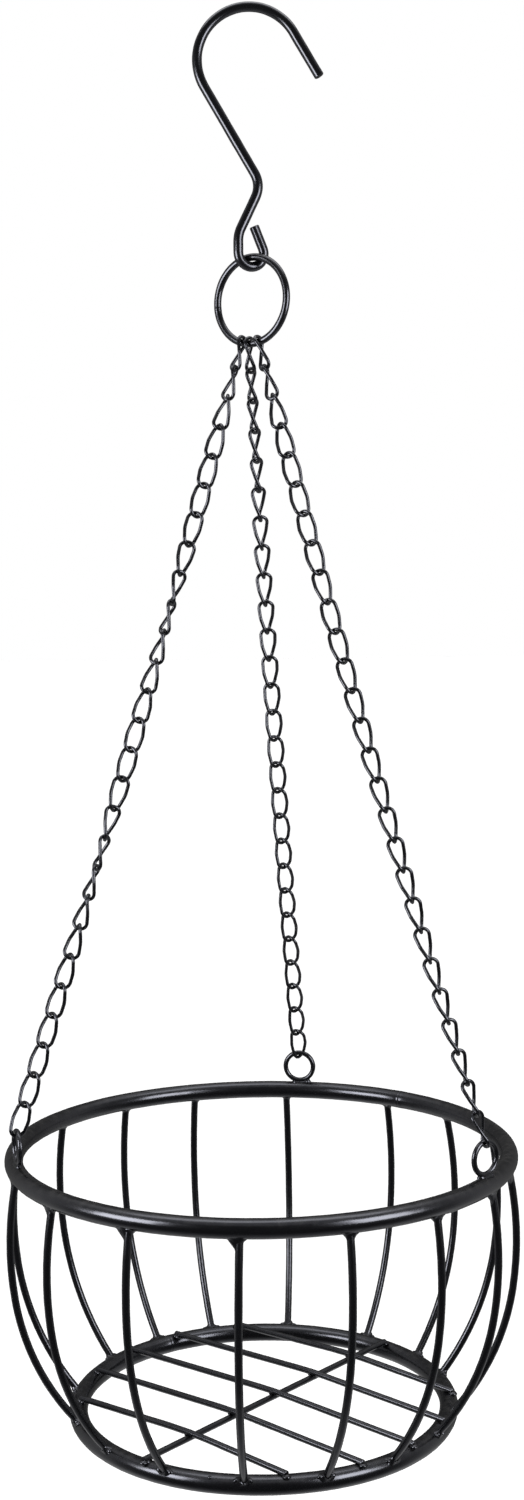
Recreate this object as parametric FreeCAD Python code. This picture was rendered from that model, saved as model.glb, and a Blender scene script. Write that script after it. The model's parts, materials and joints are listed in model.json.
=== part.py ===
import FreeCAD, Part
import math
import os
from FreeCAD import Placement, Rotation, Vector

# Wire hanging basket: a welded round-bar basket, hung by three taut twisted-link chains
# from one ring, which hangs in the closed lower eye of an open S-hook.
# Millimetres. +Z is up. The origin is the hook's seat: the top of the inside of its large
# bend, where the support carries it. The basket's axis is the vertical through the origin.

# ---- driving dimensions -------------------------------------------------------------------
RIM_DIAMETER = 250.0            # outside diameter of the rim hoop
HOOP_WIRE = 9.0                 # bar diameter of the rim hoop
BASE_WIRE = 9.0                 # bar diameter of the base hoop
RIM_DROP = 544.8                # hook seat down to the rim hoop's centre line
BASE_DROP = 126.6               # rim centre line down to the base hoop's centre line
BASE_RADIUS = 91.4              # base hoop, to its centre line

RIB_WIRE = 3.6
# Hand-set uprights: degrees round from the front, towards +X, at the rim and at the base.
RIB_ANGLES = ((-4.4, -5.5), (18.4, 17.2), (39.8, 38.8), (61.0, 61.0), (76.5, 76.5),
              (105.5, 105.5), (126.3, 121.6), (145.7, 143.9), (173.4, 171.8), (-162.5, -162.6),
              (-142.9, -143.0), (-121.2, -122.4), (-96.0, -96.0), (-72.5, -72.5),
              (-50.9, -51.4), (-28.3, -28.5))
RIB_TOP_RADIUS = 120.6
RIB_TOP_LEAN = 12.7             # degrees outwards from the vertical at the rim
RIB_BENDS = ((163.3, 21.6), (125.1, 34.2))      # radius, turn in degrees, from the top down

BAR_WIRE = 3.0
BAR_COUNT = 5
BAR_PITCH = 30.4
BAR_HEADING = -40.6             # degrees from +X, seen from above
BAR_MIDDLE = -3.0               # middle bar from the basket's axis
BAR_SHIFT = 2.3                 # bars along their own heading, off centre
BAR_OVERHANG = 0.4              # bar ends past the base hoop's centre line, before the shift
BAR_SINK = 0.4                  # how deep the bar ends are set into the base hoop
BAR_BEND_RADIUS = 260.0
CROSS_BAR_OFFSET = -8.5         # cross bar from the basket's axis
CROSS_BAR_SHIFT = -3.0

EYELET_WIRE = 2.6
EYELET_RADIUS = 7.6             # to the wire's centre line
EYELET_SINK = 0.35              # how deep the eyelet is set into the top of the rim hoop

RING_WIRE = 3.5
RING_RADIUS = 20.25             # to the wire's centre line
RING_HEADING = -36.0            # degrees from +X of the ring's plane, seen from above
RING_GAP = 0.4                  # above the eye's bottom: the ring rests askew on the eye's sides

HOOK_WIRE = 4.7
HOOK_BEND = 24.5                # large bend, to the wire's centre line
HOOK_MOUTH_TURN = 59.4          # degrees of bend from the top to the open side's straight end
HOOK_POINT = 23.8               # straight end on the open side
HOOK_SHANK_TURN = 120.0         # degrees of bend from the top to the shank
HOOK_SHANK = 52.8               # shank, from the large bend to the knee's corner
HOOK_KNEE_BENDS = (12.0, 14.0)
HOOK_SHOULDER_DROP = 103.4      # hook seat down to where the eye's side turns upright
HOOK_EYE = 6.4                  # lower eye's bottom bend, to the wire's centre line
HOOK_EYE_HEADING = 20.0         # degrees from +X of the eye's plane, seen from above
HOOK_EYE_DROP = 111.8           # hook seat down to the centre of the eye's bottom bend
HOOK_EYE_TURN = 203.0
HOOK_EYE_POINT = 11.0           # straight end that closes the eye

LINK_WIRE = 1.7
LINK_HALF_WIDTH = 3.85          # from the chain's line to the side wire's centre line
LINK_END_BEND = 3.25
LINK_SIDE_BEND = 12.0
LINK_TWIST = -45.0              # turn of a link's top end about the chain's line, degrees
LINK_GAP = 0.15                 # between one link and the next, and at both ends
LINK_COUNT = 27
LINK_GROUP_STARTS = (2, 7, 11, 15, 19, 23, 27)  # first link of each group of moving links

# Name, angle of its eyelet round the rim, turn of the eyelet's plane out of line with the rim,
# angle of its top link round the ring's bottom, how far its middle bows off the straight in X
# and Y, and the roll of its links about the chain's line as (link number, degrees), evenly in
# between.
CHAINS = (
    ("left", -72.0, 0.0, -18.0, (2.4, 0.8),
     ((1, -86), (2, -72), (3, -44), (4, -20), (6, 4), (8, 38), (9, 70), (10, 98), (12, 140),
      (14, 176), (16, 206), (17, 238), (18, 268), (20, 306), (22, 338), (24, 350), (27, 358))),
    ("back", 169.8, 0.0, -5.0, (-1.0, -2.0),
     ((1, 92), (5, 74), (7, 50), (10, 38), (12, 26), (15, 8), (20, -4), (24, -6), (27, 10))),
    ("right", 58.4, -17.0, 11.5, (-2.8, 1.7),
     ((1, -86), (2, -72), (3, -44), (5, -6), (8, 8), (9, 22), (10, 8), (13, 26), (20, 42),
      (24, 56), (27, 74))),
)

WELD_BEAD = 1.5                 # radius of the small beads at wire ends
BAR_BEAD_OUT = 0.9              # centre of a bead past the bar's end, and below its centre line
BAR_BEAD_DOWN = 1.0
EYELET_BEAD_SPREAD = 3.2        # centre of a bead from the middle of the eyelet's foot
EYELET_BEAD_LIFT = 0.3          # and above the top of the rim
RIB_COLLAR_LENGTH = 6.0         # drip of weld under the rim, along the rib
RIB_COLLAR_ROOT = 1.2           # how far the drip starts inside the rim
RIB_COLLAR_SKIN = 0.15          # thickness of the drip where it ends
RIB_FOOT_TURN = 50.0            # degrees up round the base hoop from its outside to a rib's foot
RIB_BEAD_LIFT = 0.4             # centre of a rib's foot beads off the base hoop
RIB_BEAD_SPREAD = 0.5           # and out from the rib's side

# ---- derived positions --------------------------------------------------------------------
UP = Vector(0, 0, 1)
RIM_RADIUS = (RIM_DIAMETER - HOOP_WIRE) / 2
RIM_Z = -RIM_DROP
BASE_Z = RIM_Z - BASE_DROP
CROSS_BAR_Z = BASE_Z + (BASE_WIRE + BAR_WIRE) / 2 - BAR_SINK
BAR_TOP_Z = CROSS_BAR_Z + BAR_WIRE
EYE_BOTTOM_Z = -HOOK_EYE_DROP - HOOK_EYE
RING_TOP_Z = EYE_BOTTOM_Z + (HOOK_WIRE + RING_WIRE) / 2 + RING_GAP
RING_Z = RING_TOP_Z - RING_RADIUS
RING_ALONG = Rotation(UP, RING_HEADING).multVec(Vector(1, 0, 0))
EYELET_Z = RIM_Z + HOOP_WIRE / 2 - EYELET_SINK + EYELET_RADIUS + EYELET_WIRE / 2


def radial(angle):
    """Unit vector out from the basket's axis, at an angle round from the front."""
    a = math.radians(angle)
    return Vector(math.sin(a), -math.cos(a), 0)


def group(solids):
    """One node made of separate solids."""
    return solids[0] if len(solids) == 1 else Part.makeCompound(solids)


def torus(centre, axis, radius, wire):
    return Part.makeTorus(radius, wire / 2, centre, axis)


# ---- wire paths: straight runs joined by tangent arcs --------------------------------------
def arc_by_turn(start, heading, axis, radius, turn):
    """Arc from start, turning by `turn` degrees about `axis`; returns edge, end, heading."""
    side = axis.cross(heading)
    side.normalize()
    centre = start + side * radius
    spoke = start - centre
    middle = centre + Rotation(axis, turn / 2).multVec(spoke)
    end = centre + Rotation(axis, turn).multVec(spoke)
    edge = Part.Arc(start, middle, end).toShape()
    return edge, end, Rotation(axis, turn).multVec(heading)


def trace(start, heading, axis, moves):
    """Plane path from (0, length) straight runs and (radius, turn) arcs about `axis`.

    A negative turn bends the other way.
    """
    edges = []
    here = start
    for radius, amount in moves:
        if radius:
            about = axis if amount > 0 else axis * -1
            edge, here, heading = arc_by_turn(here, heading, about, radius, abs(amount))
        else:
            end = here + heading * amount
            edge = Part.LineSegment(here, end).toShape()
            here = end
        edges.append(edge)
    return edges


def filleted(points, radii):
    """Open path through points, each inner corner rounded to its radius."""
    edges = []
    here = points[0]
    for before, corner, after, radius in zip(points, points[1:], points[2:], radii):
        inward = (corner - before).normalize()
        outward = (after - corner).normalize()
        turn = inward.getAngle(outward)
        setback = radius * math.tan(turn / 2)
        start = corner - inward * setback
        axis = inward.cross(outward).normalize()
        edges.append(Part.LineSegment(here, start).toShape())
        edge, here, _ = arc_by_turn(start, inward, axis, radius, math.degrees(turn))
        edges.append(edge)
    edges.append(Part.LineSegment(here, points[-1]).toShape())
    return edges


def round_wire(edges, wire):
    """Solid of round wire along a path whose first edge starts at its free end."""
    first = edges[0]
    start = first.valueAt(first.FirstParameter)
    heading = first.tangentAt(first.FirstParameter)
    section = Part.Wire(Part.Circle(start, heading, wire / 2).toShape())
    return Part.Wire(edges).makePipeShell([section], True, False)


# ---- hook and ring -------------------------------------------------------------------------
def s_hook():
    """Open S-hook: large bend on top, long diagonal shank, nearly closed small eye below."""
    top = Vector(0, 0, HOOK_WIRE / 2)
    back = Vector(0, 1, 0)
    right = trace(top, Vector(1, 0, 0), back, ((HOOK_BEND, HOOK_MOUTH_TURN), (0, HOOK_POINT)))
    bend, bend_end, heading = arc_by_turn(top, Vector(-1, 0, 0), back * -1, HOOK_BEND,
                                          HOOK_SHANK_TURN)
    knee = bend_end + heading * HOOK_SHANK
    side = Rotation(UP, HOOK_EYE_HEADING).multVec(Vector(-1, 0, 0))
    shoulder = side * HOOK_EYE - UP * HOOK_SHOULDER_DROP
    eye_start = side * HOOK_EYE - UP * HOOK_EYE_DROP
    eye = ((HOOK_EYE, HOOK_EYE_TURN), (0, HOOK_EYE_POINT))
    left = [bend]
    left += filleted([bend_end, knee, shoulder, eye_start], HOOK_KNEE_BENDS)
    left += trace(eye_start, UP * -1, UP.cross(side), eye)
    return round_wire(right, HOOK_WIRE).fuse(round_wire(left, HOOK_WIRE))


def hanging_ring():
    return torus(Vector(0, 0, RING_Z), RING_ALONG.cross(UP), RING_RADIUS, RING_WIRE)


# ---- basket --------------------------------------------------------------------------------
def rim_hoop():
    return torus(Vector(0, 0, RIM_Z), UP, RIM_RADIUS, HOOP_WIRE)


def base_hoop():
    return torus(Vector(0, 0, BASE_Z), UP, BASE_RADIUS, BASE_WIRE)


def rib_place(top_angle, foot_angle):
    """Placement that takes a front upright to its own spot, leaning along the hoops."""
    shift = BASE_RADIUS * math.sin(math.radians(foot_angle - top_angle))
    lean = math.degrees(math.atan2(shift, BASE_DROP))
    skew = Placement(Vector(0, 0, 0), Rotation(radial(0), lean), UP * RIM_Z)
    return Placement(Vector(0, 0, 0), Rotation(UP, top_angle)).multiply(skew)


def rib_top():
    """Start of the front upright inside the rim hoop, and the way it heads."""
    lean = math.radians(RIB_TOP_LEAN)
    start = radial(0) * RIB_TOP_RADIUS + UP * RIM_Z
    return start, radial(0) * math.sin(lean) - UP * math.cos(lean)


def rib(place, hoops):
    """Bowed upright, coped to the round of both hoops."""
    start, heading = rib_top()
    path = trace(start, heading, heading.cross(radial(180)).normalize(), RIB_BENDS)
    return round_wire(path, RIB_WIRE).transformed(place.Matrix).cut(hoops)


def bar_line(offset, heading, shift, mid_z):
    """Ends and middle of a base bar that lies across the base hoop."""
    turn = Rotation(UP, heading)
    half = math.sqrt(BASE_RADIUS ** 2 - offset ** 2) + BAR_OVERHANG
    ends = [turn.multVec(Vector(shift + x, offset, 0)) for x in (-half, half)]
    middle = turn.multVec(Vector(-CROSS_BAR_OFFSET, offset, 0))
    return ends[0] + UP * CROSS_BAR_Z, middle + UP * mid_z, ends[1] + UP * CROSS_BAR_Z


def base_bar_line(index):
    offset = BAR_MIDDLE + (index - (BAR_COUNT - 1) / 2) * BAR_PITCH
    return bar_line(offset, BAR_HEADING, BAR_SHIFT, BAR_TOP_Z)


def base_bar(index, base):
    """One of the parallel bars: its ends on the hoop, humped over the cross bar."""
    path = filleted(base_bar_line(index), [BAR_BEND_RADIUS])
    return round_wire(path, BAR_WIRE).cut(base)


def cross_bar_line():
    return bar_line(CROSS_BAR_OFFSET, BAR_HEADING + 90, CROSS_BAR_SHIFT, CROSS_BAR_Z)


def base_cross_bar(base):
    first, _, last = cross_bar_line()
    straight = Part.LineSegment(first, last).toShape()
    return round_wire([straight], BAR_WIRE).cut(base)


def eyelet(angle, turn, rim):
    """Closed wire ring standing on the rim, its plane roughly along the rim."""
    centre = radial(angle) * RIM_RADIUS + UP * EYELET_Z
    return torus(centre, radial(angle + turn), EYELET_RADIUS, EYELET_WIRE).cut(rim)


# ---- chains --------------------------------------------------------------------------------
def chain_ends(eyelet_angle, ring_angle):
    """Top and bottom of a chain: the wire centres of its end links, on one taut line."""
    a = math.radians(ring_angle)
    on_ring = Vector(0, 0, RING_Z) + RING_ALONG * (RING_RADIUS * math.sin(a))
    on_ring -= UP * (RING_RADIUS * math.cos(a))
    on_eyelet = radial(eyelet_angle) * RIM_RADIUS + UP * (EYELET_Z + EYELET_RADIUS)
    along = (on_ring - on_eyelet).normalize()
    top = on_ring + along * ((RING_WIRE + LINK_WIRE) / 2 + LINK_GAP)
    bottom = on_eyelet - along * ((EYELET_WIRE + LINK_WIRE) / 2 + LINK_GAP)
    return top, bottom, along


def twisted_link(length):
    """Curb-chain link about +Z, its two ends turned a quarter turn apart."""
    half = length / 2
    h = LINK_HALF_WIDTH
    top_end = Rotation(UP, LINK_TWIST)
    foot_end = Rotation(UP, -LINK_TWIST)
    points = [Vector(0, 0, half), top_end.multVec(Vector(h, 0, 0)) + UP * half,
              Vector(h, 0, 0), foot_end.multVec(Vector(h, 0, 0)) - UP * half,
              Vector(0, 0, -half)]
    side = filleted(points, [LINK_END_BEND, LINK_SIDE_BEND, LINK_END_BEND])
    near = round_wire(side, LINK_WIRE)
    far = near.copy()
    far.rotate(Vector(0, 0, 0), UP, 180)
    return near.fuse(far)


def roll_of(link, rolls):
    """Roll of a numbered link, evenly between the stated ones."""
    for (n0, r0), (n1, r1) in zip(rolls, rolls[1:]):
        if n0 <= link <= n1:
            return r0 + (r1 - r0) * (link - n0) / (n1 - n0)
    return rolls[-1][1]


def chain_links(eyelet_angle, ring_angle, bow, rolls):
    """All links of one chain in place, from the ring down to the rim."""
    top, bottom, along = chain_ends(eyelet_angle, ring_angle)
    span = (top - bottom).Length
    overlap = LINK_WIRE + LINK_GAP
    pitch = (span - overlap) / LINK_COUNT
    pattern = twisted_link(pitch + overlap)
    sideways = Vector(bow[0], bow[1], 0)
    sideways -= along * sideways.dot(along)
    links = []
    for number in range(1, LINK_COUNT + 1):
        down = (pitch + overlap) / 2 + (number - 1) * pitch
        share = down / span
        centre = top - along * down + sideways * (4 * share * (1 - share))
        upright = Rotation(UP, along - sideways * (4 * (1 - 2 * share) / span))
        roll = Rotation(UP, roll_of(number, rolls))
        link = pattern.copy()
        link.Placement = Placement(centre, upright.multiply(roll))
        links.append(link)
    return links


# ---- welds ---------------------------------------------------------------------------------
def rib_top_weld(place, rim, upright):
    """Collar of weld that runs from the rim's underside down the rib."""
    start, heading = rib_top()
    root = start + heading * (HOOP_WIRE / 2 - RIB_COLLAR_ROOT)
    tip = RIB_WIRE / 2 + RIB_COLLAR_SKIN
    collar = Part.makeCone(RIB_WIRE, tip, RIB_COLLAR_LENGTH, root, heading)
    return collar.transformed(place.Matrix).cut(rim).cut(upright)


def bead(centre, outward, cutters):
    """Round bead of weld, trimmed back to the metal that it joins."""
    across = UP.cross(outward)
    facing = Rotation(outward, UP * -1, across, "XZY")
    ball = Part.makeSphere(WELD_BEAD).transformed(Placement(centre, facing).Matrix)
    for cutter in cutters:
        ball = ball.cut(cutter)
    return ball


def rib_foot_welds(place, base, upright):
    """Two beads, one each side of the rib's foot on the base hoop."""
    lift = Rotation(Vector(-1, 0, 0), RIB_FOOT_TURN).multVec(radial(0))
    foot = radial(0) * BASE_RADIUS + UP * BASE_Z + lift * (BASE_WIRE / 2 + RIB_BEAD_LIFT)
    spread = Vector(RIB_WIRE / 2 + RIB_BEAD_SPREAD, 0, 0)
    beads = []
    for side in (-1, 1):
        outward = place.Rotation.multVec(Vector(side, 0, 0))
        beads.append(bead(place.multVec(foot + spread * side), outward, (base, upright)))
    return beads


def bar_end_welds(bar, points, base):
    """A bead under each end of a base bar, on the hoop."""
    beads = []
    for end, other in ((points[0], points[2]), (points[2], points[0])):
        outward = (end - other).normalize()
        centre = end + outward * BAR_BEAD_OUT - UP * BAR_BEAD_DOWN
        beads.append(bead(centre, outward, (base, bar)))
    return beads


def eyelet_welds(angle, turn, rim, ring):
    """Two beads at the foot of an eyelet, one on each side along its plane."""
    foot = radial(angle) * RIM_RADIUS + UP * (RIM_Z + HOOP_WIRE / 2 + EYELET_BEAD_LIFT)
    along = UP.cross(radial(angle + turn))
    beads = []
    for side in (-1, 1):
        centre = foot + along * (side * EYELET_BEAD_SPREAD)
        beads.append(bead(centre, along * side, (rim, ring)))
    return beads


# ---- build ---------------------------------------------------------------------------------
def basket_nodes():
    rim = rim_hoop()
    base = base_hoop()
    hoops = rim.fuse(base)
    nodes = {"rim_hoop": rim, "base_hoop": base}

    collars, foot_beads = [], []
    for index, angles in enumerate(RIB_ANGLES):
        place = rib_place(*angles)
        upright = rib(place, hoops)
        nodes[f"rib_{index + 1:02d}"] = upright
        collars.append(rib_top_weld(place, rim, upright))
        foot_beads += rib_foot_welds(place, base, upright)
    nodes["rib_top_welds"] = group(collars)
    nodes["rib_foot_welds"] = group(foot_beads)

    bar_beads = []
    for index in range(BAR_COUNT):
        bar = base_bar(index, base)
        nodes[f"base_bar_{index + 1}"] = bar
        bar_beads += bar_end_welds(bar, base_bar_line(index), base)
    cross = base_cross_bar(base)
    nodes["base_cross_bar"] = cross
    bar_beads += bar_end_welds(cross, cross_bar_line(), base)
    nodes["base_bar_welds"] = group(bar_beads)

    eyelet_beads = []
    for name, angle, turn, _, _, _ in CHAINS:
        ring = eyelet(angle, turn, rim)
        nodes[f"eyelet_{name}"] = ring
        eyelet_beads += eyelet_welds(angle, turn, rim, ring)
    nodes["eyelet_welds"] = group(eyelet_beads)
    return nodes


def chain_nodes():
    nodes = {}
    for name, eyelet_angle, _, ring_angle, bow, rolls in CHAINS:
        links = chain_links(eyelet_angle, ring_angle, bow, rolls)
        nodes[f"chain_{name}_top_link"] = links[0]
        nodes[f"chain_{name}_bottom_link"] = links[-1]
        for first, after in zip(LINK_GROUP_STARTS, LINK_GROUP_STARTS[1:]):
            label = f"chain_{name}_links_{first:02d}_to_{after - 1:02d}"
            nodes[label] = group(links[first - 1:after - 1])
    return nodes


os.makedirs("parts", exist_ok=True)
NODES = {"s_hook": s_hook(), "hanging_ring": hanging_ring()}
NODES.update(basket_nodes())
NODES.update(chain_nodes())
for node, shape in NODES.items():
    shape.exportStep(f"parts/{node}.step")
    print(node, len(shape.Solids), round(shape.Volume, 1), shape.isValid())
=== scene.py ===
import json
import math
import random
import bpy
import numpy as np
from mathutils import Matrix, Quaternion, Vector, noise


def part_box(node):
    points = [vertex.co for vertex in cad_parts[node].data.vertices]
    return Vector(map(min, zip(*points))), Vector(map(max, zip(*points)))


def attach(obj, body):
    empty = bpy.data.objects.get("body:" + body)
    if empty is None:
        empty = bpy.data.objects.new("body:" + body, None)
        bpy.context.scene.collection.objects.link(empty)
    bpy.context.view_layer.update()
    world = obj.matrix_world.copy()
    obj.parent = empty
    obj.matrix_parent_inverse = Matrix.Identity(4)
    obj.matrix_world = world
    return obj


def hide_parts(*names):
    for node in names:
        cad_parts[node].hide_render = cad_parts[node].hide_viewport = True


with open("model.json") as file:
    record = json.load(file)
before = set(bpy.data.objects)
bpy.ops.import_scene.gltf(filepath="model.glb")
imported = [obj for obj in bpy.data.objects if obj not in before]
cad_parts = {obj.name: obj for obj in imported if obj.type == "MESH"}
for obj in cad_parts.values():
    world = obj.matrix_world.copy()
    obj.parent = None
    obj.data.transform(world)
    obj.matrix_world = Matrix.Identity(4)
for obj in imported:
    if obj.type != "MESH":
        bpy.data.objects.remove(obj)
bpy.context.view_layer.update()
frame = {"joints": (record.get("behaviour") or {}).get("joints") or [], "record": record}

# A welded wire hanging basket: every wire is swept here as a smooth, slightly uneven tube
# along the CAD's own route, with cut ends, butt joints, fillet welds and black enamel.
# Lengths are in millimetres, in the CAD's frame, and turn to metres when a mesh is made.
MM = 0.001
UP = Vector((0, 0, 1))
RECORD = frame["record"]
BODY_OF = {n: b for b, nodes in RECORD["behaviour"]["bodies"].items() for n in nodes}
JOINTS = {j["name"]: j for j in frame["joints"]}

# ---- the CAD's dimensions -------------------------------------------------------------------
HOOP_WIRE = 9.0
BASE_WIRE = 9.0
RIB_WIRE = 3.6
RIB_ANGLES = ((-4.4, -5.5), (18.4, 17.2), (39.8, 38.8), (61.0, 61.0), (76.5, 76.5),
              (105.5, 105.5), (126.3, 121.6), (145.7, 143.9), (173.4, 171.8), (-162.5, -162.6),
              (-142.9, -143.0), (-121.2, -122.4), (-96.0, -96.0), (-72.5, -72.5),
              (-50.9, -51.4), (-28.3, -28.5))
RIB_TOP_RADIUS = 120.6
RIB_TOP_LEAN = 12.7
RIB_BENDS = ((163.3, 21.6), (125.1, 34.2))
BAR_WIRE = 3.0
BAR_COUNT = 5
BAR_PITCH = 30.4
BAR_HEADING = -40.6
BAR_MIDDLE = -3.0
BAR_SHIFT = 2.3
BAR_OVERHANG = 0.4
BAR_SINK = 0.4
BAR_BEND_RADIUS = 260.0
CROSS_BAR_OFFSET = -8.5
CROSS_BAR_SHIFT = -3.0
EYELET_WIRE = 2.6
EYELET_RADIUS = 7.6
RING_WIRE = 3.5
HOOK_WIRE = 4.7
HOOK_BEND = 24.5
HOOK_MOUTH_TURN = 59.4
HOOK_POINT = 23.8
HOOK_SHANK_TURN = 120.0
HOOK_SHANK = 52.8
HOOK_KNEE_BENDS = (12.0, 14.0)
HOOK_SHOULDER_DROP = 103.4
HOOK_EYE = 6.4
HOOK_EYE_HEADING = 20.0
HOOK_EYE_DROP = 111.8
HOOK_EYE_TURN = 203.0
HOOK_EYE_POINT = 11.0
LINK_WIRE = 1.7
LINK_HALF_WIDTH = 3.85
LINK_END_BEND = 3.25
LINK_SIDE_BEND = 12.0
LINK_TWIST = -45.0
LINK_GAP = 0.15
LINK_COUNT = 27
LINK_GROUP_STARTS = (2, 7, 11, 15, 19, 23, 27)
# Angle of a chain's eyelet round the rim, turn of the eyelet's plane, angle of the top link
# round the ring's bottom, how far the chain's middle bows off the straight in X and Y, and the
# roll of its links about the chain's line.
CHAINS = {
    "left": (-72.0, 0.0, -18.0, (2.4, 0.8),
             ((1, -86), (2, -72), (3, -44), (4, -20), (6, 4), (8, 38), (9, 70), (10, 98),
              (12, 140), (14, 176), (16, 206), (17, 238), (18, 268), (20, 306), (22, 338),
              (24, 350), (27, 358))),
    "back": (169.8, 0.0, -5.0, (-1.0, -2.0),
             ((1, 92), (5, 74), (7, 50), (10, 38), (12, 26), (15, 8), (20, -4), (24, -6),
              (27, 10))),
    "right": (58.4, -17.0, 11.5, (-2.8, 1.7),
              ((1, -86), (2, -72), (3, -44), (5, -6), (8, 8), (9, 22), (10, 8), (13, 26),
               (20, 42), (24, 56), (27, 74))),
}


def ring_of(node, wire, upright):
    """Centre and centre-line radius, in millimetres, of a CAD node that is a torus."""
    low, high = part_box(node)
    size = (high.z - low.z) if upright else (high.x - low.x)
    return (low + high) / (2 * MM), size / (2 * MM) - wire / 2


RIM_CENTRE, RIM_RADIUS = ring_of("rim_hoop", HOOP_WIRE, False)
BASE_CENTRE, BASE_RADIUS = ring_of("base_hoop", BASE_WIRE, False)
RING_CENTRE, RING_RADIUS = ring_of("hanging_ring", RING_WIRE, True)
RING_NORMAL = Vector(JOINTS["basket_swing"]["axis"])
RING_ALONG = RING_NORMAL.cross(UP)
CROSS_BAR_Z = BASE_CENTRE.z + (BASE_WIRE + BAR_WIRE) / 2 - BAR_SINK
BAR_TOP_Z = CROSS_BAR_Z + BAR_WIRE


def radial(angle):
    """Unit vector out from the basket's axis, at an angle round from the front."""
    a = math.radians(angle)
    return Vector((math.sin(a), -math.cos(a), 0))


def turned(vector, axis, degrees):
    return Matrix.Rotation(math.radians(degrees), 3, axis) @ vector


# ---- unevenness and joints of the real wires ------------------------------------------------
WIRE_WOBBLE = 0.05              # slow unevenness of a drawn wire's surface
HOOP_WOBBLE = 0.07
HOOK_WOBBLE = 0.06
FINE_WOBBLE = 0.04              # of eyelets and links
WOBBLE_GRAIN = 0.16             # waves of it per millimetre
HOOP_OUT_OF_ROUND = (0.16, 0.09)    # in two and in five lobes
HOOP_LIFT = 0.12                # out of flat, in three lobes
END_CHAMFER = 0.16              # of the wire's radius, at a cut end
JOINT_NOTCH = 0.8               # depth of the line down a butt joint, as a share of its rise
JOINT_NOTCH_SHARPNESS = 14
HOOP_JOINT = (1.6, 0.13)        # half width and rise of a butt joint
RING_JOINT = (0.9, 0.07)
LINK_JOINT = (0.4, 0.035)
RING_JOINT_AT = 0.73            # of the way round from the ring's top
LINK_JOINT_AT = 0.75            # of the way round from the link's top
RIM_JOINT_ANGLE = 141           # round the hoop from the front
BASE_JOINT_ANGLE = 214
RIB_SIDE_LUCK = 0.45            # how far a rib's middle may lie to a side, and out or in
RIB_BELLY_LUCK = 0.35


# ---- wire routes: straight runs joined by tangent arcs, as points -----------------------------
ARC_STEP = 3.0                  # degrees between points on an arc


def arc(start, heading, axis, radius, turn):
    """Points after start on an arc, and the heading at its end."""
    side = axis.cross(heading).normalized()
    centre = start + side * radius
    steps = max(2, math.ceil(turn / ARC_STEP))
    spoke = start - centre
    points = [centre + turned(spoke, axis, turn * i / steps) for i in range(1, steps + 1)]
    return points, turned(heading, axis, turn)


def trace(start, heading, axis, moves):
    """Points from (0, length) straight runs and (radius, turn) arcs about axis."""
    points = [start]
    for radius, amount in moves:
        if radius:
            more, heading = arc(points[-1], heading, axis, radius, amount)
            points += more
        else:
            points.append(points[-1] + heading * amount)
    return points


def filleted(corners, radii):
    """Points through corners, with each inner corner rounded to its radius."""
    points = [corners[0]]
    for before, corner, after, radius in zip(corners, corners[1:], corners[2:], radii):
        inward = (corner - before).normalized()
        outward = (after - corner).normalized()
        turn = inward.angle(outward)
        points.append(corner - inward * (radius * math.tan(turn / 2)))
        axis = inward.cross(outward).normalized()
        points += arc(points[-1], inward, axis, radius, math.degrees(turn))[0]
    points.append(corners[-1])
    return points


def circle(centre, normal, start, radius, steps=240):
    """Closed ring of points round a normal, from the side that start points to."""
    spoke = start.normalized() * radius
    return [centre + turned(spoke, normal, 360 * i / steps) for i in range(steps)]


# ---- swept wire -------------------------------------------------------------------------------
def stations(length, step, extra=()):
    """Places along a wire: even steps, and any extra places where detail is."""
    even = np.linspace(0, length, max(3, round(length / step) + 1))
    kept = [s for s in even if all(abs(s - e) > step * 0.3 for e in extra)]
    return np.array(sorted(kept + [e for e in extra if 0 <= e <= length]))


def measured(points, closed):
    """Points as an array, closed if asked, and the distance along them."""
    path = np.array([tuple(p) for p in points], float)
    if closed:
        path = np.vstack([path, path[:1]])
    steps = np.linalg.norm(np.diff(path, axis=0), axis=1)
    keep = np.concatenate([[True], steps > 1e-9])
    path = path[keep]
    along = np.concatenate([[0], np.cumsum(np.linalg.norm(np.diff(path, axis=0), axis=1))])
    return path, along


def at(path, along, places):
    return np.stack([np.interp(places, along, path[:, k]) for k in range(3)], axis=1)


def turn_between(a, b):
    return Vector(a).rotation_difference(Vector(b))


def sections(centres, closed):
    """Two unit vectors across the wire at each place, carried along without twisting."""
    count = len(centres)
    if closed:
        ahead = np.roll(centres, -1, axis=0) - np.roll(centres, 1, axis=0)
    else:
        ahead = np.gradient(centres, axis=0)
    ahead /= np.linalg.norm(ahead, axis=1)[:, None]
    side = Vector(ahead[0]).orthogonal().normalized()
    sides = [side]
    for i in range(1, count):
        side = turn_between(ahead[i - 1], ahead[i]) @ side
        sides.append(side.normalized())
    if closed:
        last = turn_between(ahead[-1], ahead[0]) @ sides[-1]
        slip = last.angle(sides[0])
        if last.cross(sides[0]).dot(Vector(ahead[0])) < 0:
            slip = -slip
        sides = [Quaternion(Vector(ahead[i]), slip * i / count) @ s
                 for i, s in enumerate(sides)]
    sides = np.array([tuple(s) for s in sides])
    return sides, np.cross(ahead, sides)


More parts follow.
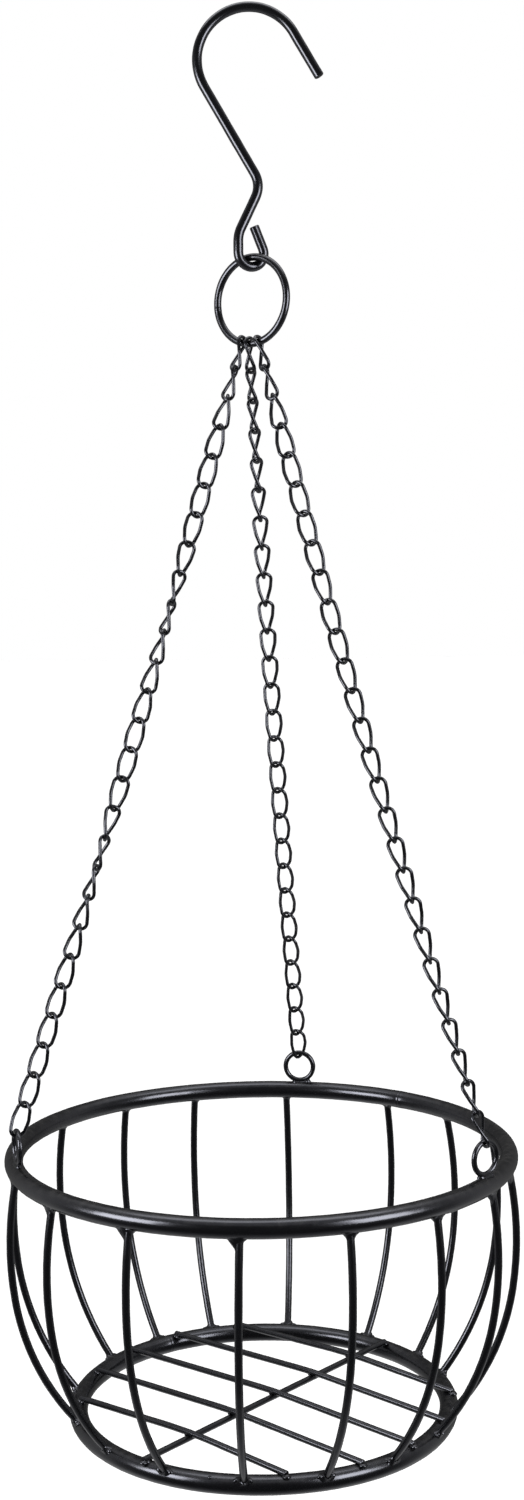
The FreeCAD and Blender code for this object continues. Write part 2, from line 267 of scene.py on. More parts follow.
def swept(points, radius, step, sides=16, closed=False, extra=(), wobble=0.0, seed=0.0):
    """Vertices and faces of a round wire; radius is a number or a function of distance.

    An open wire gets a small chamfer and a flat cut face at each end. The wobble is the
    size of the slow unevenness of a drawn wire, in millimetres.
    """
    path, along = measured(points, closed)
    length = along[-1]
    chamfer = 0.0
    base = radius(0.0) if callable(radius) else radius
    if not closed:
        chamfer = base * END_CHAMFER
        extra = list(extra) + [0.0, chamfer, chamfer * 3, length - chamfer * 3,
                               length - chamfer, length]
    places = stations(length, step, extra)
    if closed:
        places = places[:-1] if abs(places[-1] - length) < 1e-6 else places
    centres = at(path, along, places)
    across, over = sections(centres, closed)
    angles = np.linspace(0, 2 * math.pi, sides, endpoint=False)
    vertices = []
    for i, place in enumerate(places):
        size = radius(place) if callable(radius) else radius
        if not closed and min(place, length - place) < chamfer * 0.5:
            size -= chamfer
        ring = (np.outer(np.cos(angles), across[i]) + np.outer(np.sin(angles), over[i]))
        for direction in ring:
            r = size
            if wobble:
                spot = Vector(centres[i] + direction * size) * WOBBLE_GRAIN
                r += wobble * noise.noise(spot + Vector((seed, seed * 0.7, 0)))
            vertices.append(tuple(centres[i] + direction * r))
    count = len(places)
    faces = []
    for i in range(count if closed else count - 1):
        j = (i + 1) % count
        for k in range(sides):
            m = (k + 1) % sides
            faces.append((i * sides + k, i * sides + m, j * sides + m, j * sides + k))
    if not closed:
        for i, order in ((0, 1), (count - 1, -1)):
            centre = len(vertices)
            vertices.append(tuple(centres[i]))
            for k in range(sides):
                pair = (i * sides + k, i * sides + (k + 1) % sides)
                faces.append((centre,) + (pair if order < 0 else pair[::-1]))
    return vertices, faces


def joined(parts):
    """One list of vertices and faces from several."""
    vertices, faces = [], []
    for more, shapes in parts:
        start = len(vertices)
        vertices += more
        faces += [tuple(v + start for v in face) for face in shapes]
    return vertices, faces


def piece(name, shape, nodes, material, sharp=38):
    """A mesh object that stands for CAD nodes, rides with their body and takes the finish it is
    given.
    """
    vertices, faces = shape
    mesh = bpy.data.meshes.new(name)
    mesh.from_pydata([(x * MM, y * MM, z * MM) for x, y, z in vertices], [], faces)
    mesh.validate()
    mesh.polygons.foreach_set("use_smooth", [True] * len(mesh.polygons))
    mesh.set_sharp_from_angle(angle=math.radians(sharp))
    mesh.materials.append(material)
    made = bpy.data.objects.new(name, mesh)
    bpy.context.scene.collection.objects.link(made)
    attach(made, BODY_OF[nodes[0]])
    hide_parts(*nodes)
    return made


def butt_joint(place, width, rise, base):
    """Radius along a wire that swells at a welded butt joint."""
    def radius(s):
        near = (s - place) / width
        swell = rise * math.exp(-near * near)
        notch = rise * JOINT_NOTCH * math.exp(-near * near * JOINT_NOTCH_SHARPNESS)
        return base + swell - notch
    return radius


def around(place, width):
    """Extra places that show a butt joint's shape."""
    return [place + width * f for f in (-1.8, -1.2, -0.8, -0.5, -0.3, -0.15, 0, 0.15, 0.3,
                                        0.5, 0.8, 1.2, 1.8)]


# ---- black enamel -------------------------------------------------------------------------
BLACK_TONES = ((0.0010, 0.0010, 0.0012, 1), (0.0018, 0.0018, 0.0021, 1))
DUST_TONE = (0.12, 0.115, 0.108, 1)
DUST_MOST = 0.09
GLOSS_TINT = (0.86, 0.88, 1.0, 1)
PEEL_DEPTH = 0.00005            # metres


def node(tree, kind, **values):
    made = tree.nodes.new(kind)
    for name, value in values.items():
        setattr(made, name, value)
    return made


def enamel(name, gloss, peel):
    """Black baked enamel: uneven gloss, fine orange peel, and a little dust on top faces."""
    material = bpy.data.materials.new(name)
    material.use_nodes = True
    tree = material.node_tree
    shader = tree.nodes["Principled BSDF"]
    link = tree.links.new
    place = node(tree, "ShaderNodeTexCoord").outputs["Object"]

    def speckle(scale, detail):
        made = node(tree, "ShaderNodeTexNoise")
        made.inputs["Scale"].default_value = scale
        made.inputs["Detail"].default_value = detail
        link(place, made.inputs["Vector"])
        return made.outputs["Fac"]

    def spread(value, low, high, start=0.3, stop=0.7):
        made = node(tree, "ShaderNodeMapRange")
        made.inputs["From Min"].default_value = start
        made.inputs["From Max"].default_value = stop
        made.inputs["To Min"].default_value = low
        made.inputs["To Max"].default_value = high
        link(value, made.inputs["Value"])
        return made.outputs["Result"]

    def times(a, b):
        made = node(tree, "ShaderNodeMath", operation="MULTIPLY")
        link(a, made.inputs[0])
        link(b, made.inputs[1])
        return made.outputs[0]

    tone = node(tree, "ShaderNodeMix", data_type="RGBA")
    tone.inputs["A"].default_value, tone.inputs["B"].default_value = BLACK_TONES
    link(spread(speckle(38, 3), 0, 1), tone.inputs["Factor"])

    facing = node(tree, "ShaderNodeSeparateXYZ")
    link(node(tree, "ShaderNodeNewGeometry").outputs["Normal"], facing.inputs["Vector"])
    dust = times(spread(facing.outputs["Z"], 0, 1, 0.35, 1.0),
                 spread(speckle(240, 5), 0, DUST_MOST, 0.42, 0.72))
    dusty = node(tree, "ShaderNodeMix", data_type="RGBA")
    dusty.inputs["B"].default_value = DUST_TONE
    link(tone.outputs["Result"], dusty.inputs["A"])
    link(dust, dusty.inputs["Factor"])
    link(dusty.outputs["Result"], shader.inputs["Base Color"])

    rough = node(tree, "ShaderNodeMath", operation="ADD")
    link(spread(speckle(70, 4), gloss * 0.93, gloss * 1.08), rough.inputs[0])
    link(dust, rough.inputs[1])
    link(rough.outputs[0], shader.inputs["Roughness"])

    skin = node(tree, "ShaderNodeBump")
    skin.inputs["Strength"].default_value = peel
    skin.inputs["Distance"].default_value = PEEL_DEPTH
    link(speckle(1100, 2), skin.inputs["Height"])
    link(skin.outputs["Normal"], shader.inputs["Normal"])
    shader.inputs["Specular IOR Level"].default_value = 0.5
    shader.inputs["Specular Tint"].default_value = GLOSS_TINT
    return material


BASKET_ENAMEL = enamel("basket_enamel", 0.22, 0.13)
CHAIN_ENAMEL = enamel("chain_enamel", 0.22, 0.05)
HOOK_ENAMEL = enamel("hook_enamel", 0.22, 0.08)
WELD_ENAMEL = enamel("weld_enamel", 0.22, 0.45)


# ---- hook and ring --------------------------------------------------------------------------
def s_hook():
    """Open S-hook: large bend on top, long diagonal shank, nearly closed eye below."""
    top = Vector((0, 0, HOOK_WIRE / 2))
    back = Vector((0, 1, 0))
    mouth = trace(top, Vector((1, 0, 0)), back, ((HOOK_BEND, HOOK_MOUTH_TURN), (0, HOOK_POINT)))
    bend, heading = arc(top, Vector((-1, 0, 0)), -back, HOOK_BEND, HOOK_SHANK_TURN)
    knee = bend[-1] + heading * HOOK_SHANK
    side = turned(Vector((-1, 0, 0)), UP, HOOK_EYE_HEADING)
    shoulder = side * HOOK_EYE - UP * HOOK_SHOULDER_DROP
    eye_start = side * HOOK_EYE - UP * HOOK_EYE_DROP
    shank = filleted([bend[-1], knee, shoulder, eye_start], HOOK_KNEE_BENDS)
    eye = trace(eye_start, -UP, UP.cross(side), ((HOOK_EYE, HOOK_EYE_TURN), (0, HOOK_EYE_POINT)))
    route = mouth[::-1] + bend + shank[1:] + eye[1:]
    wire = swept(route, HOOK_WIRE / 2, 1.2, sides=28, wobble=HOOK_WOBBLE, seed=3.0)
    piece("s_hook_wire", wire, ["s_hook"], HOOK_ENAMEL)


def hanging_ring():
    """Closed ring with a butt weld on its left side."""
    route = circle(RING_CENTRE, RING_NORMAL, UP, RING_RADIUS)
    joint = 2 * math.pi * RING_RADIUS * RING_JOINT_AT
    radius = butt_joint(joint, *RING_JOINT, RING_WIRE / 2)
    wire = swept(route, radius, 1.0, sides=24, closed=True, extra=around(joint, RING_JOINT[0]),
                 wobble=WIRE_WOBBLE, seed=9.0)
    piece("hanging_ring_wire", wire, ["hanging_ring"], CHAIN_ENAMEL)


# ---- hoops, ribs and base bars --------------------------------------------------------------
def hoop(name, node_name, centre, radius, wire, joint_angle, seed):
    """Closed hoop, a touch out of round, with one ground butt weld."""
    route = []
    steps = 360
    for i in range(steps):
        a = 2 * math.pi * i / steps
        out = radial(360 * i / steps)
        uneven = HOOP_OUT_OF_ROUND[0] * math.sin(2 * a + seed)
        uneven += HOOP_OUT_OF_ROUND[1] * math.sin(5 * a + seed * 2)
        lift = HOOP_LIFT * math.sin(3 * a + seed)
        route.append(centre + out * (radius + uneven) + UP * lift)
    joint = 2 * math.pi * radius * joint_angle / 360
    size = butt_joint(joint, *HOOP_JOINT, wire / 2)
    tube = swept(route, size, 2.2, sides=36, closed=True, extra=around(joint, HOOP_JOINT[0]),
                 wobble=HOOP_WOBBLE, seed=seed)
    piece(name, tube, [node_name], BASKET_ENAMEL)


def rib_frame(index):
    """A rib's start inside the rim hoop, its way down, outward and along the hoop."""
    top_angle, foot_angle = RIB_ANGLES[index]
    out = radial(top_angle)
    lean = math.radians(RIB_TOP_LEAN)
    shift = BASE_RADIUS * math.sin(math.radians(foot_angle - top_angle))
    skew = math.degrees(math.atan2(shift, RIM_CENTRE.z - BASE_CENTRE.z))
    start = out * RIB_TOP_RADIUS + UP * RIM_CENTRE.z
    heading = turned(out * math.sin(lean) - UP * math.cos(lean), out, skew)
    return start, heading, out, turned(UP.cross(out), out, skew)


def rib(index, luck):
    """Bowed upright, each a little different in its bow."""
    start, heading, out, sideways = rib_frame(index)
    bow = trace(start, heading, sideways, RIB_BENDS)
    path, along = measured(bow, False)
    length = along[-1]
    lean = luck.uniform(-RIB_SIDE_LUCK, RIB_SIDE_LUCK)
    belly = luck.uniform(-RIB_BELLY_LUCK, RIB_BELLY_LUCK)
    route = []
    for place in np.linspace(0, length, 90):
        share = math.sin(math.pi * place / length)
        spot = Vector(at(path, along, [place])[0])
        route.append(spot + sideways * (lean * share) + out * (belly * share))
    wire = swept(route, RIB_WIRE / 2, 1.8, sides=18, wobble=WIRE_WOBBLE, seed=20.0 + index)
    piece(f"rib_{index + 1:02d}_wire", wire, [f"rib_{index + 1:02d}"], BASKET_ENAMEL)


def bar_line(offset, heading, shift, mid_z):
    """Ends and middle of a base bar that lies across the base hoop."""
    half = math.sqrt(BASE_RADIUS ** 2 - offset ** 2) + BAR_OVERHANG
    first = turned(Vector((shift - half, offset, 0)), UP, heading) + UP * CROSS_BAR_Z
    last = turned(Vector((shift + half, offset, 0)), UP, heading) + UP * CROSS_BAR_Z
    middle = turned(Vector((-CROSS_BAR_OFFSET, offset, 0)), UP, heading) + UP * mid_z
    return first, middle, last


BAR_LINES = [bar_line(BAR_MIDDLE + (i - (BAR_COUNT - 1) / 2) * BAR_PITCH, BAR_HEADING,
                      BAR_SHIFT, BAR_TOP_Z) for i in range(BAR_COUNT)]
CROSS_BAR_LINE = bar_line(CROSS_BAR_OFFSET, BAR_HEADING + 90, CROSS_BAR_SHIFT, CROSS_BAR_Z)


def base_bars():
    for index, line in enumerate(BAR_LINES):
        route = filleted(line, [BAR_BEND_RADIUS])
        wire = swept(route, BAR_WIRE / 2, 2.0, sides=16, wobble=WIRE_WOBBLE, seed=50.0 + index)
        piece(f"base_bar_{index + 1}_wire", wire, [f"base_bar_{index + 1}"], BASKET_ENAMEL)
    ends = [CROSS_BAR_LINE[0], CROSS_BAR_LINE[2]]
    wire = swept(ends, BAR_WIRE / 2, 2.0, sides=16, wobble=WIRE_WOBBLE, seed=60.0)
    piece("base_cross_bar_wire", wire, ["base_cross_bar"], BASKET_ENAMEL)


def eyelet_place(name):
    """Top of an eyelet's centre line, its radius, and the normal of its plane."""
    angle, turn = CHAINS[name][:2]
    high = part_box(f"eyelet_{name}")[1].z / MM - EYELET_WIRE / 2
    return radial(angle) * RIM_RADIUS + UP * high, EYELET_RADIUS, radial(angle + turn)


def eyelet(name):
    top, radius, normal = eyelet_place(name)
    route = circle(top - UP * radius, normal, UP, radius, steps=120)
    wire = swept(route, EYELET_WIRE / 2, 0.8, sides=20, closed=True, wobble=FINE_WOBBLE,
                 seed=70.0)
    piece(f"eyelet_{name}_wire", wire, [f"eyelet_{name}"], CHAIN_ENAMEL)


# ---- chains -----------------------------------------------------------------------------------
def chain_line(name):
    """Top and bottom wire centres of a chain's end links, and the direction between them."""
    a = math.radians(CHAINS[name][2])
    on_ring = RING_CENTRE + RING_ALONG * (RING_RADIUS * math.sin(a))
    on_ring -= UP * (RING_RADIUS * math.cos(a))
    on_eyelet = eyelet_place(name)[0]
    along = (on_ring - on_eyelet).normalized()
    top = on_ring + along * ((RING_WIRE + LINK_WIRE) / 2 + LINK_GAP)
    bottom = on_eyelet - along * ((EYELET_WIRE + LINK_WIRE) / 2 + LINK_GAP)
    return top, bottom, along


def link_shape(length, seed):
    """Twisted link about +Z, with a butt joint half way along one side."""
    half = length / 2
    h = LINK_HALF_WIDTH
    corners = [UP * half,
               turned(Vector((h, 0, 0)), UP, LINK_TWIST) + UP * half,
               Vector((h, 0, 0)),
               turned(Vector((h, 0, 0)), UP, -LINK_TWIST) - UP * half,
               UP * -half]
    side = filleted(corners, [LINK_END_BEND, LINK_SIDE_BEND, LINK_END_BEND])
    other = [turned(p, UP, 180) for p in side]
    route = side[:-1] + other[::-1][:-1]
    _, along = measured(route, True)
    joint = along[-1] * LINK_JOINT_AT
    radius = butt_joint(joint, *LINK_JOINT, LINK_WIRE / 2)
    return swept(route, radius, 0.75, sides=14, closed=True, extra=around(joint, LINK_JOINT[0]),
                 wobble=FINE_WOBBLE, seed=seed)


def roll_of(number, rolls):
    for (n0, r0), (n1, r1) in zip(rolls, rolls[1:]):
        if n0 <= number <= n1:
            return r0 + (r1 - r0) * (number - n0) / (n1 - n0)
    return rolls[-1][1]


def chain(name):
    """The links of one chain in place, gathered as the CAD's nodes are."""
    top, bottom, along = chain_line(name)
    span = (top - bottom).length
    overlap = LINK_WIRE + LINK_GAP
    pitch = (span - overlap) / LINK_COUNT
    _, _, _, bow, rolls = CHAINS[name]
    sideways = Vector((bow[0], bow[1], 0))
    sideways -= along * sideways.dot(along)
    links = []
    for number in range(1, LINK_COUNT + 1):
        down = (pitch + overlap) / 2 + (number - 1) * pitch
        share = down / span
        centre = top - along * down + sideways * (4 * share * (1 - share))
        upright = UP.rotation_difference(along - sideways * (4 * (1 - 2 * share) / span))
        roll = roll_of(number, rolls)
        turn = upright @ Quaternion(UP, math.radians(roll))
        vertices, faces = link_shape(pitch + overlap, 100.0 + number * 1.7)
        links.append(([tuple(turn @ Vector(v) + centre) for v in vertices], faces))
    piece(f"chain_{name}_top_link_wire", links[0], [f"chain_{name}_top_link"], CHAIN_ENAMEL)
    piece(f"chain_{name}_bottom_link_wire", links[-1], [f"chain_{name}_bottom_link"],
          CHAIN_ENAMEL)
    for first, after in zip(LINK_GROUP_STARTS, LINK_GROUP_STARTS[1:]):
        label = f"chain_{name}_links_{first:02d}_to_{after - 1:02d}"
        piece(label + "_wire", joined(links[first - 1:after - 1]), [label], CHAIN_ENAMEL)


# ---- welds --------------------------------------------------------------------------------------
def grid_faces(rows, columns):
    """Faces of a grid that closes both ways."""
    faces = []
    for i in range(rows):
        for j in range(columns):
            k, m = (i + 1) % rows, (j + 1) % columns
            faces.append((i * columns + j, i * columns + m, k * columns + m, k * columns + j))
    return faces


def fillet_weld(centre, away, tangent, hoop_wire, hoop_radius, inward, reach, climb, seed):
    """Fillet of weld round a wire that stands on a hoop.

    centre is on the hoop's centre line, away the way the wire leaves it, tangent along the
    hoop, and inward towards the hoop's middle. reach and climb give, for an angle round the
    wire from the tangent, how far the weld runs out on the hoop and up the wire.
    """
    tube, wire = hoop_wire / 2, RIB_WIRE / 2
    across = away.cross(tangent)
    rows, profile = 36, 10
    sunk = 0.35
    vertices = []

    def on_hoop(direction, distance, depth):
        u, v = direction[0] * distance, direction[1] * distance
        roll = v / tube
        lie = inward * (u * u / (2 * hoop_radius))
        return (centre + tangent * u + lie + across * ((tube - depth) * math.sin(roll))
                + away * ((tube - depth) * math.cos(roll)))

    for i in range(rows):
        phi = 2 * math.pi * i / rows
        direction = (math.cos(phi), math.sin(phi))
        side = tangent * direction[0] + across * direction[1]
        spot = Vector((direction[0] * 1.3 + seed, direction[1] * 1.3, seed))
        rough = 1 + 0.14 * noise.noise(spot)
        out = on_hoop(direction, wire + reach(phi) * rough, 0.0)
        high = centre + away * (tube + climb(phi) * rough) + side * wire
        corner = on_hoop(direction, wire + 0.25, -0.25)
        corner = corner * 0.6 + (out + high) * 0.2
        row = [on_hoop(direction, wire + reach(phi) * rough, sunk)]
        for j in range(profile):
            t = j / (profile - 1)
            spot = out * (1 - t) ** 2 + corner * (2 * t * (1 - t)) + high * t ** 2
            lump = 0.16 * noise.noise(spot * 0.7 + Vector((seed, 0, 0))) * math.sin(math.pi * t)
            row.append(spot + (side + away).normalized() * (lump + 0.04))
        row.append(high - side * sunk)
        vertices += [tuple(p) for p in row]
    return vertices, grid_faces(rows, profile + 2)


def lobe(phi, toward, sharpness):
    """1 where phi points toward an angle, falling smoothly to 0 away from it."""
    return max(0.0, math.cos(phi - toward)) ** sharpness


def blob(centre, axes, sizes, seed):
    """Bead of weld: a rounded, slightly uneven mound."""
    rows, columns = 12, 20
    vertices, faces = [], []
    a, b, c = axes
    for i in range(rows + 1):
        t = math.pi * i / rows
        for j in range(columns):
            p = 2 * math.pi * j / columns
            d = Vector((math.sin(t) * math.cos(p), math.sin(t) * math.sin(p), math.cos(t)))
            r = 1 + 0.16 * noise.noise(d * 1.1 + Vector((seed, seed * 0.3, 0)))
            vertices.append(tuple(centre + a * (d.x * sizes[0] * r) + b * (d.y * sizes[1] * r)
                                  + c * (d.z * sizes[2] * r)))
    for i in range(rows):
        for j in range(columns):
            k = (j + 1) % columns
            quad = (i * columns + j, (i + 1) * columns + j, (i + 1) * columns + k,
                    i * columns + k)
            faces.append(quad)
    return vertices, faces


# Least and most weld at a rib's head: along the hoop on its big side and its small side, and
# down the rib. Heads at the back have less. A few in front differ, by the rib's index.
HEAD_BIG = (2.6, 3.8)
HEAD_SMALL = (0.5, 1.3)
HEAD_TALL = (3.4, 4.6)
BACK_SHARES = (0.3, 0.6, 0.35)
HEADS = {1: (1.5, 1.7, 1.9), 2: (1.9, 1.8, 2.2), 15: (4.6, 1.6, 4.4)}
FOOT_SPREAD = (1.6, 2.4)        # least and most weld along the hoop at a rib's foot
FOOT_BEAD = (1.45, 1.15, 1.0)
SPATTER = ((-15.0, 38.0, 1.0),)     # drops of weld on the base hoop: angle, roll out, size


def rib_welds(luck):
    """Fillets at the ribs' heads and feet."""
    heads, feet = [], []
    for index, (top_angle, foot_angle) in enumerate(RIB_ANGLES):
        start, heading, out, tangent = rib_frame(index)
        big = luck.uniform(*HEAD_BIG)
        small = luck.uniform(*HEAD_SMALL)
        tall = luck.uniform(*HEAD_TALL)
        if abs(top_angle) > 90:
            big, small, tall = (a * b for a, b in zip((big, small, tall), BACK_SHARES))
        big, small, tall = HEADS.get(index, (big, small, tall))

        def head_reach(phi, big=big, small=small):
            return 0.45 + big * lobe(phi, math.pi, 2) + small * lobe(phi, 0, 2)

        def head_climb(phi, tall=tall, small=small):
            return 0.6 + tall * lobe(phi, math.pi, 2) + small * lobe(phi, 0, 2)

        heads.append(fillet_weld(start, heading, tangent, HOOP_WIRE, RIM_RADIUS, -out,
                                 head_reach, head_climb, 3.1 * index))
        turn = math.radians(sum(t for _, t in RIB_BENDS) - RIB_TOP_LEAN)
        out = radial(foot_angle)
        tangent = UP.cross(out)
        away = out * math.sin(turn) + UP * math.cos(turn)
        spread = (luck.uniform(*FOOT_SPREAD), luck.uniform(*FOOT_SPREAD))

        def foot_reach(phi, spread=spread):
            return 0.4 + spread[0] * lobe(phi, 0, 2) + spread[1] * lobe(phi, math.pi, 2)

        def foot_climb(phi):
            return 0.6 + 1.5 * abs(math.cos(phi)) ** 2

        foot = out * BASE_RADIUS + UP * BASE_CENTRE.z
        feet.append(fillet_weld(foot, away, tangent, BASE_WIRE, BASE_RADIUS, -out,
                                foot_reach, foot_climb, 90 + 2.3 * index))
        for side, size in ((-1, spread[1]), (1, spread[0])):
            spot = foot + away * (BASE_WIRE / 2 - 0.1) + tangent * (side * (1.6 + size * 0.75))
            feet.append(blob(spot, (tangent, away.cross(tangent), away), FOOT_BEAD,
                             index + side * 0.4))
    for angle, roll, size in SPATTER:
        out = radial(angle)
        along = UP.cross(out)
        away = turned(UP, along, roll)
        spot = out * BASE_RADIUS + UP * BASE_CENTRE.z + away * (BASE_WIRE / 2)
        feet.append(blob(spot, (along, away.cross(along), away),
                         (size, size * 0.9, size * 0.7), angle))
    piece("rib_top_weld_fillets", joined(heads), ["rib_top_welds"], WELD_ENAMEL)
    piece("rib_foot_weld_fillets", joined(feet), ["rib_foot_welds"], WELD_ENAMEL)


# Beads at a bar's end, by their sizes along, across and up.
END_BEAD = (2.1, 2.0, 1.15)
SIDE_BEAD = (1.6, 1.3, 0.95)
CROSSING_BEAD = (0.75, 0.75, 0.4)


def bar_welds():
    """Beads at the ends of the base bars and squeezed out where they cross."""
    beads = []
    for index, (first, middle, last) in enumerate(BAR_LINES + [CROSS_BAR_LINE]):
        for end, other in ((first, last), (last, first)):
            out = (end - other).normalized()
            across = UP.cross(out)
            seed = index * 1.9 + end.x * 0.01
            beads.append(blob(end - out * 0.2 - UP * 1.05, (out, across, UP), END_BEAD, seed))
            beads.append(blob(end - out * 2.0 - UP * 1.2 + across * 0.9, (out, across, UP),
                              SIDE_BEAD, seed + 5))
        if index < BAR_COUNT:
            below = Vector((middle.x, middle.y, CROSS_BAR_Z + BAR_WIRE / 2))
            run = turned(Vector((1, 0, 0)), UP, BAR_HEADING)
            for side in (-1, 1):
                spot = below + run * (side * 0.95) + UP.cross(run) * (side * 0.95)
                beads.append(blob(spot, (run, UP.cross(run), UP), CROSSING_BEAD,
                                  30 + index + side))
    piece("base_bar_weld_beads", joined(beads), ["base_bar_welds"], WELD_ENAMEL)


def eyelet_foot(name, left, right, seed):
    """Puddle of weld that fills the wedge between an eyelet's foot and the rim's top."""
    out = radial(CHAINS[name][0])
    tangent = UP.cross(eyelet_place(name)[2])
    crown = out * RIM_RADIUS + UP * (RIM_CENTRE.z + HOOP_WIRE / 2)
    outer = EYELET_RADIUS + EYELET_WIRE / 2
    rows, columns = 30, 20
    vertices = []
    for i in range(rows):
        u = -left + (left + right) * i / (rows - 1)
        edge = min((u + left), (right - u)) / 2.0
        rise = outer - math.sqrt(max(0.0, outer * outer - u * u))
        fade = math.sin(min(1.0, max(0.0, edge)) * math.pi / 2)
        height = (rise + 0.7 + 0.16 * noise.noise(Vector((u * 0.6, seed, 0)))) * fade + 0.02
        thick = (1.8 + 0.2 * noise.noise(Vector((u * 0.5, seed, 4)))) * (0.35 + 0.65 * fade)
        lie = -out * (u * u / (2 * RIM_RADIUS))
        for j in range(columns):
            p = 2 * math.pi * j / columns
            v = math.cos(p) * thick
            drop = HOOP_WIRE / 2 - math.sqrt((HOOP_WIRE / 2) ** 2 - v * v)
            w = math.sin(p) * height if math.sin(p) > 0 else math.sin(p) * 0.7
            lump = 1 + 0.05 * noise.noise(Vector((u, v, w)) * 1.2 + Vector((seed, 0, 0)))
            spot = crown + tangent * u + lie + out * (v * lump) + UP * (w * lump - drop)
            vertices.append(tuple(spot))
    faces = []
    for i in range(rows - 1):
        for j in range(columns):
            m = (j + 1) % columns
            faces.append((i * columns + j, i * columns + m, (i + 1) * columns + m,
                          (i + 1) * columns + j))
    faces.append(tuple(range(columns))[::-1])
    faces.append(tuple(range((rows - 1) * columns, rows * columns)))
    return vertices, faces


# How far the weld at each eyelet's foot reaches to either side, and the seed of its shape.
EYELET_FEET = {"left": (5.4, 4.6, 11.0), "back": (6.4, 4.2, 17.0), "right": (4.8, 5.4, 23.0)}


def eyelet_welds():
    feet = [eyelet_foot(name, *reach) for name, reach in EYELET_FEET.items()]
    piece("eyelet_weld_feet", joined(feet), ["eyelet_welds"], WELD_ENAMEL)


# ---- build ----------------------------------------------------------------------------------
LUCK = random.Random(11)
s_hook()
hanging_ring()
hoop("rim_hoop_bar", "rim_hoop", RIM_CENTRE, RIM_RADIUS, HOOP_WIRE, RIM_JOINT_ANGLE, 0.7)
hoop("base_hoop_bar", "base_hoop", BASE_CENTRE, BASE_RADIUS, BASE_WIRE, BASE_JOINT_ANGLE, 2.1)
for number in range(len(RIB_ANGLES)):
    rib(number, LUCK)
base_bars()
for chain_name in CHAINS:
    eyelet(chain_name)
    chain(chain_name)
rib_welds(LUCK)
bar_welds()
eyelet_welds()


# ---- stage, light and camera, in metres -------------------------------------------------------
FLOOR_Z = -1.65
FLOOR_HALF = 60.0
FLOOR_TONES = ((0.9, 0.9, 0.9, 1), (0.94, 0.94, 0.94, 1))
FLOOR_LIGHT = 2.0
CAMERA_PLACE = (0.0026, -0.91816, -0.28367)
CAMERA_PITCH = 0.07015          # radians, downwards
CAMERA_ROLL = 0.011
CAMERA_LENS = 45.715            # millimetres, on the sensor's width
CAMERA_SENSOR = 36.0
# Name, place, what it points at, width, height and watts.
SOFTBOXES = (
    ("top_softbox", (0, 0.12, 1.0), (0, 0.05, -0.5), 1.8, 0.62, 12),
    ("left_softbox", (-0.768, -0.474, -0.24), (0, 0, -0.3), 0.45, 0.5, 13),
    ("right_softbox", (0.706, -0.569, -0.15), (0, 0, -0.2), 0.45, 0.6, 13),
)
# The room's light, by direction: a wall of glow round the object where the direction's Y part
# is near GLOW_MIDDLE, and a ceiling and a floor that start, are full, and have a strength.
GLOW_MIDDLE = 0.3
GLOW_WIDTH = 0.38
GLOW = 0.5
CEILING_GLOW = (0.62, 0.85, 0.6)
FLOOR_GLOW = (0.5, 0.9, 0.3)
ROOM_DIM = 0.075                # strength where nothing glows


def pale_paint():
    """Matt off-white floor paint with a faint mottle."""
    material = bpy.data.materials.new("pale_floor")
    material.use_nodes = True
    tree = material.node_tree
    shader = tree.nodes["Principled BSDF"]
    mottle = node(tree, "ShaderNodeTexNoise")
    mottle.inputs["Scale"].default_value = 6
    tone = node(tree, "ShaderNodeMix", data_type="RGBA")
    tone.inputs["A"].default_value, tone.inputs["B"].default_value = FLOOR_TONES
    tree.links.new(node(tree, "ShaderNodeTexCoord").outputs["Object"], mottle.inputs["Vector"])
    tree.links.new(mottle.outputs["Fac"], tone.inputs["Factor"])
    tree.links.new(tone.outputs["Result"], shader.inputs["Base Color"])
    shader.inputs["Roughness"].default_value = 0.8
    shader.inputs["Specular IOR Level"].default_value = 0.0
    return material


def floor():
    """Wide pale floor, lit evenly from above by a light of its own."""
    mesh = bpy.data.meshes.new("studio_floor")
    corners = ((-1, -1), (1, -1), (1, 1), (-1, 1))
    mesh.from_pydata([(x * FLOOR_HALF, y * FLOOR_HALF, FLOOR_Z) for x, y in corners], [],
                     [(0, 1, 2, 3)])
    mesh.materials.append(pale_paint())
    made = bpy.data.objects.new("studio_floor", mesh)
    made.visible_glossy = False
    bpy.context.scene.collection.objects.link(made)
    lit = bpy.data.collections.new("floor_only")
    lit.objects.link(made)
    light = bpy.data.lights.new("floor_light", "SUN")
    light.energy = FLOOR_LIGHT
    light.angle = math.radians(120)
    lamp = bpy.data.objects.new("floor_light", light)
    lamp.light_linking.receiver_collection = lit
    bpy.context.scene.collection.objects.link(lamp)


def softbox(name, place, target, width, height, power):
    light = bpy.data.lights.new(name, "AREA")
    light.shape = "RECTANGLE"
    light.size = width
    light.size_y = height
    light.energy = power
    made = bpy.data.objects.new(name, light)
    made.location = place
    aim = Vector(target) - Vector(place)
    made.rotation_euler = aim.to_track_quat("-Z", "Y").to_euler()
    bpy.context.scene.collection.objects.link(made)


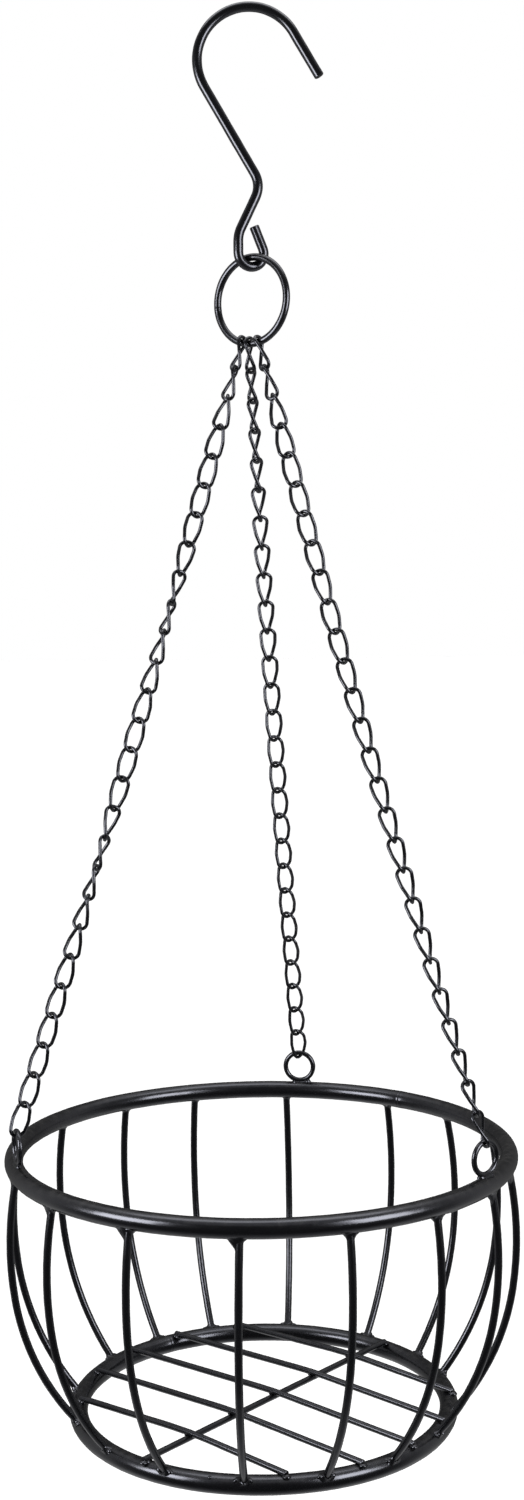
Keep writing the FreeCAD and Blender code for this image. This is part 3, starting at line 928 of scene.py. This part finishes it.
def surroundings():
    """A white room as the camera sees it; the object sees soft glows in a dark one."""
    world = bpy.data.worlds.new("studio")
    bpy.context.scene.world = world
    world.use_nodes = True
    tree = world.node_tree
    link = tree.links.new
    background = tree.nodes["Background"]
    direction = node(tree, "ShaderNodeTexCoord").outputs["Generated"]

    def math_node(operation, a, b=0.0):
        made = node(tree, "ShaderNodeMath", operation=operation)
        for socket, value in zip(made.inputs, (a, b)):
            if isinstance(value, (int, float)):
                socket.default_value = value
            else:
                link(value, socket)
        return made.outputs[0]

    def toward(vector):
        made = node(tree, "ShaderNodeVectorMath", operation="DOT_PRODUCT")
        made.inputs[1].default_value = vector
        link(direction, made.inputs[0])
        return made.outputs["Value"]

    def band(value, start, stop, high):
        """0 below start, rising smoothly to high at stop."""
        made = node(tree, "ShaderNodeMapRange", interpolation_type="SMOOTHSTEP")
        made.inputs["From Min"].default_value = start
        made.inputs["From Max"].default_value = stop
        made.inputs["To Min"].default_value = 0.0
        made.inputs["To Max"].default_value = high
        link(value, made.inputs["Value"])
        return made.outputs["Result"]

    off = math_node("DIVIDE", math_node("SUBTRACT", toward((0, 1, 0)), GLOW_MIDDLE), GLOW_WIDTH)
    bump = math_node("EXPONENT", math_node("MULTIPLY", math_node("MULTIPLY", off, off), -1.0))
    total = math_node("MULTIPLY", bump, GLOW)
    for more in (band(toward((0, 0, 1)), *CEILING_GLOW),
                 band(toward((0, 0.2, -1)), *FLOOR_GLOW)):
        total = math_node("ADD", total, more)
    total = math_node("ADD", total, ROOM_DIM)

    seen = node(tree, "ShaderNodeLightPath").outputs["Is Camera Ray"]
    pick = node(tree, "ShaderNodeMix", data_type="FLOAT")
    link(seen, pick.inputs["Factor"])
    link(total, pick.inputs["A"])
    pick.inputs["B"].default_value = 1.0
    link(pick.outputs["Result"], background.inputs["Strength"])
    background.inputs["Color"].default_value = (1, 1, 1, 1)


def camera():
    """The viewpoint: near the rim's height, looking slightly down."""
    level_up = Vector((0, math.sin(CAMERA_PITCH), math.cos(CAMERA_PITCH)))
    side = Vector((1, 0, 0))
    right = side * math.cos(CAMERA_ROLL) - level_up * math.sin(CAMERA_ROLL)
    over = side * math.sin(CAMERA_ROLL) + level_up * math.cos(CAMERA_ROLL)
    back = right.cross(over)
    place = Vector(CAMERA_PLACE)
    data = bpy.data.cameras.new("camera")
    data.lens = CAMERA_LENS
    data.sensor_width = CAMERA_SENSOR
    made = bpy.data.objects.new("camera", data)
    made.matrix_world = Matrix((
        (right.x, over.x, back.x, place.x), (right.y, over.y, back.y, place.y),
        (right.z, over.z, back.z, place.z), (0, 0, 0, 1)))
    bpy.context.scene.collection.objects.link(made)
    bpy.context.scene.camera = made


floor()
surroundings()
for box in SOFTBOXES:
    softbox(*box)
camera()
bpy.context.scene.view_settings.view_transform = "Standard"
